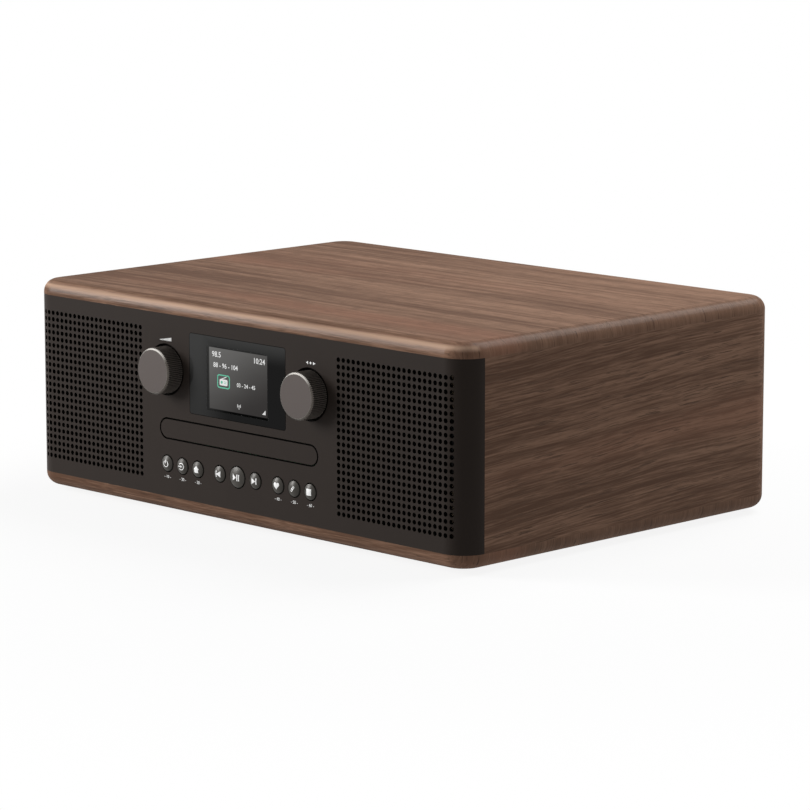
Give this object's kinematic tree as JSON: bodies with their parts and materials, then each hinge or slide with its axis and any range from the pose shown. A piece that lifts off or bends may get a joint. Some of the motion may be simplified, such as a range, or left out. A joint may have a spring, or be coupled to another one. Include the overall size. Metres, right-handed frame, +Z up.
{
  "type": "tabletop radio",
  "caption": "Tabletop radio with disc player: walnut cabinet, wrapped black front with two perforated grilles, screen, two knobs, round buttons, disc tray and rod aerial.",
  "frame": {"origin": "middle of the overall box, on the table under the feet", "axes": "+X to the right seen from the front, -Y out of the front, +Z up"},
  "size_m": [0.38, 0.3042, 0.1346],
  "materials": {
    "walnut": "satin walnut veneer",
    "baffle_wood": "raw fibreboard",
    "front_black": "fine matt",
    "knob_metal": "satin anodised",
    "knob_face": "fine satin",
    "button_metal": "satin",
    "window": "high gloss",
    "screen": "lit screen in a grey rim",
    "black_plastic": "fine texture",
    "white_plastic": "moulded",
    "rubber": "matt",
    "steel": "brushed",
    "chrome": "polished",
    "circuit": "lacquered circuit board",
    "paper": "pressed paper",
    "print": "white printed marks"
  },
  "bodies": {
    "cabinet": {"top_board": "walnut", "base_board": "walnut", "side_board_left": "walnut", "side_board_right": "walnut", "rear_panel": "black_plastic", "rear_screws": "steel", "rubber_feet": "rubber", "front_panel": "front_black", "grille_left": "front_black", "grille_right": "front_black", "speaker_baffle": "baffle_wood", "display_window": "window", "lcd_module": "screen", "front_board": "circuit", "volume_encoder": "steel", "select_encoder": "steel", "loader_chassis": "black_plastic", "loader_belt": "rubber", "loader_motor": "steel", "clamp_bridge": "black_plastic", "speaker_left": "black_plastic", "speaker_right": "black_plastic", "main_board": "circuit", "power_supply": "circuit", "mains_inlet": "black_plastic", "rear_jacks": "black_plastic", "aerial_socket": "chrome"},
    "volume_dial": {"volume_knob": "knob_metal", "volume_knob_face": "knob_face", "volume_shaft": "steel"},
    "select_switch": {"select_plunger": "steel"},
    "select_dial": {"select_knob": "knob_metal", "select_knob_face": "knob_face", "select_shaft": "steel"},
    "standby_key": {"standby_button": "button_metal"},
    "source_key": {"source_button": "button_metal"},
    "home_key": {"home_button": "button_metal"},
    "previous_key": {"previous_button": "button_metal"},
    "play_key": {"play_button": "button_metal"},
    "next_key": {"next_button": "button_metal"},
    "favourite_key": {"favourite_button": "button_metal"},
    "link_key": {"link_button": "button_metal"},
    "stop_key": {"stop_button": "button_metal"},
    "tray": {"disc_tray": "black_plastic", "tray_door": "front_black"},
    "tray_gear": {"loader_gear": "white_plastic"},
    "drive_pulley": {"loader_pulley": "white_plastic"},
    "motor_spindle": {"motor_pulley": "steel"},
    "deck": {"player_deck": "steel", "deck_motors": "steel", "guide_rods": "steel"},
    "disc_table": {"turntable": "black_plastic"},
    "sled": {"laser_sled": "black_plastic"},
    "sled_pinion": {"sled_gear": "white_plastic"},
    "puck": {"clamp_puck": "black_plastic"},
    "left_cone": {"cone_left": "paper"},
    "right_cone": {"cone_right": "paper"},
    "aerial_swivel": {"aerial_knuckle": "chrome"},
    "aerial_arm": {"aerial_sleeve": "chrome"},
    "aerial_tip": {"aerial_rod": "chrome"}
  },
  "joints": [
    {"name": "volume_turn", "type": "hinge", "parent": "cabinet", "child": "volume_dial", "pos_m": [-0.0641, -0.14125, 0.09095], "axis": [0, 1, 0], "continuous": true},
    {"name": "select_push", "type": "slide", "parent": "cabinet", "child": "select_switch", "axis": [0, 1, 0], "range_m": [0, 0.0006], "stiffness_N_per_m": 4000},
    {"name": "select_turn", "type": "hinge", "parent": "select_switch", "child": "select_dial", "pos_m": [0.0627, -0.14125, 0.09095], "axis": [0, 1, 0], "continuous": true},
    {"name": "standby_press", "type": "slide", "parent": "cabinet", "child": "standby_key", "axis": [0, 1, 0], "range_m": [0, 0.0006], "stiffness_N_per_m": 1500},
    {"name": "source_press", "type": "slide", "parent": "cabinet", "child": "source_key", "axis": [0, 1, 0], "range_m": [0, 0.0006], "stiffness_N_per_m": 1500},
    {"name": "home_press", "type": "slide", "parent": "cabinet", "child": "home_key", "axis": [0, 1, 0], "range_m": [0, 0.0006], "stiffness_N_per_m": 1500},
    {"name": "previous_press", "type": "slide", "parent": "cabinet", "child": "previous_key", "axis": [0, 1, 0], "range_m": [0, 0.0006], "stiffness_N_per_m": 1500},
    {"name": "play_press", "type": "slide", "parent": "cabinet", "child": "play_key", "axis": [0, 1, 0], "range_m": [0, 0.0006], "stiffness_N_per_m": 1500},
    {"name": "next_press", "type": "slide", "parent": "cabinet", "child": "next_key", "axis": [0, 1, 0], "range_m": [0, 0.0006], "stiffness_N_per_m": 1500},
    {"name": "favourite_press", "type": "slide", "parent": "cabinet", "child": "favourite_key", "axis": [0, 1, 0], "range_m": [0, 0.0006], "stiffness_N_per_m": 1500},
    {"name": "link_press", "type": "slide", "parent": "cabinet", "child": "link_key", "axis": [0, 1, 0], "range_m": [0, 0.0006], "stiffness_N_per_m": 1500},
    {"name": "stop_press", "type": "slide", "parent": "cabinet", "child": "stop_key", "axis": [0, 1, 0], "range_m": [0, 0.0006], "stiffness_N_per_m": 1500},
    {"name": "tray_slide", "type": "slide", "parent": "cabinet", "child": "tray", "axis": [0, -1, 0], "range_m": [0, 0.132]},
    {"name": "tray_gear_turn", "type": "hinge", "parent": "cabinet", "child": "tray_gear", "pos_m": [-0.0733, -0.09925, 0.0501], "axis": [0, 0, -1], "range_deg": [0, 762]},
    {"name": "pulley_turn", "type": "hinge", "parent": "cabinet", "child": "drive_pulley", "pos_m": [-0.0837, -0.07751, 0.0501], "axis": [0, 0, 1], "range_deg": [0, 2274]},
    {"name": "motor_turn", "type": "hinge", "parent": "cabinet", "child": "motor_spindle", "pos_m": [-0.0837, -0.04651, 0.0501], "axis": [0, 0, 1], "range_deg": [0, 6686]},
    {"name": "deck_lift", "type": "hinge", "parent": "cabinet", "child": "deck", "pos_m": [0, 0.02675, 0.042], "axis": [-1, 0, 0], "range_deg": [0, 6.6]},
    {"name": "table_turn", "type": "hinge", "parent": "deck", "child": "disc_table", "pos_m": [0, -0.06923, 0.0319], "axis": [0, -0.1149, 0.9934], "continuous": true},
    {"name": "sled_slide", "type": "slide", "parent": "deck", "child": "sled", "axis": [0, 0.9934, 0.1149], "range_m": [0, 0.036]},
    {"name": "sled_gear_turn", "type": "hinge", "parent": "deck", "child": "sled_pinion", "pos_m": [0.0331, -0.01956, 0.03765], "axis": [0, 0.1149, -0.9934], "range_deg": [0, 349]},
    {"name": "puck_turn", "type": "hinge", "parent": "cabinet", "child": "puck", "pos_m": [0, -0.06975, 0.0591], "axis": [0, 0, 1], "continuous": true},
    {"name": "left_cone_move", "type": "slide", "parent": "cabinet", "child": "left_cone", "axis": [0, -1, 0], "range_m": [-0.002, 0.002], "stiffness_N_per_m": 1200},
    {"name": "right_cone_move", "type": "slide", "parent": "cabinet", "child": "right_cone", "axis": [0, -1, 0], "range_m": [-0.002, 0.002], "stiffness_N_per_m": 1200},
    {"name": "aerial_turn", "type": "hinge", "parent": "cabinet", "child": "aerial_swivel", "pos_m": [0.15, 0.13805, 0.105], "axis": [0, 1, 0], "range_deg": [0, 180]},
    {"name": "aerial_tilt", "type": "hinge", "parent": "aerial_swivel", "child": "aerial_arm", "pos_m": [0.15, 0.14805, 0.105], "axis": [0, 0, -1], "range_deg": [0, 90]},
    {"name": "aerial_extend", "type": "slide", "parent": "aerial_arm", "child": "aerial_tip", "axis": [-1, 0, 0], "range_m": [0, 0.15]}
  ],
  "couplings": [
    {"joint": "tray_gear_turn", "follows": "tray_slide", "rad_per_m": 100},
    {"joint": "pulley_turn", "follows": "tray_slide", "rad_per_m": 300},
    {"joint": "motor_turn", "follows": "tray_slide", "rad_per_m": 883.33},
    {"joint": "sled_gear_turn", "follows": "sled_slide", "rad_per_m": 166.67}
  ]
}
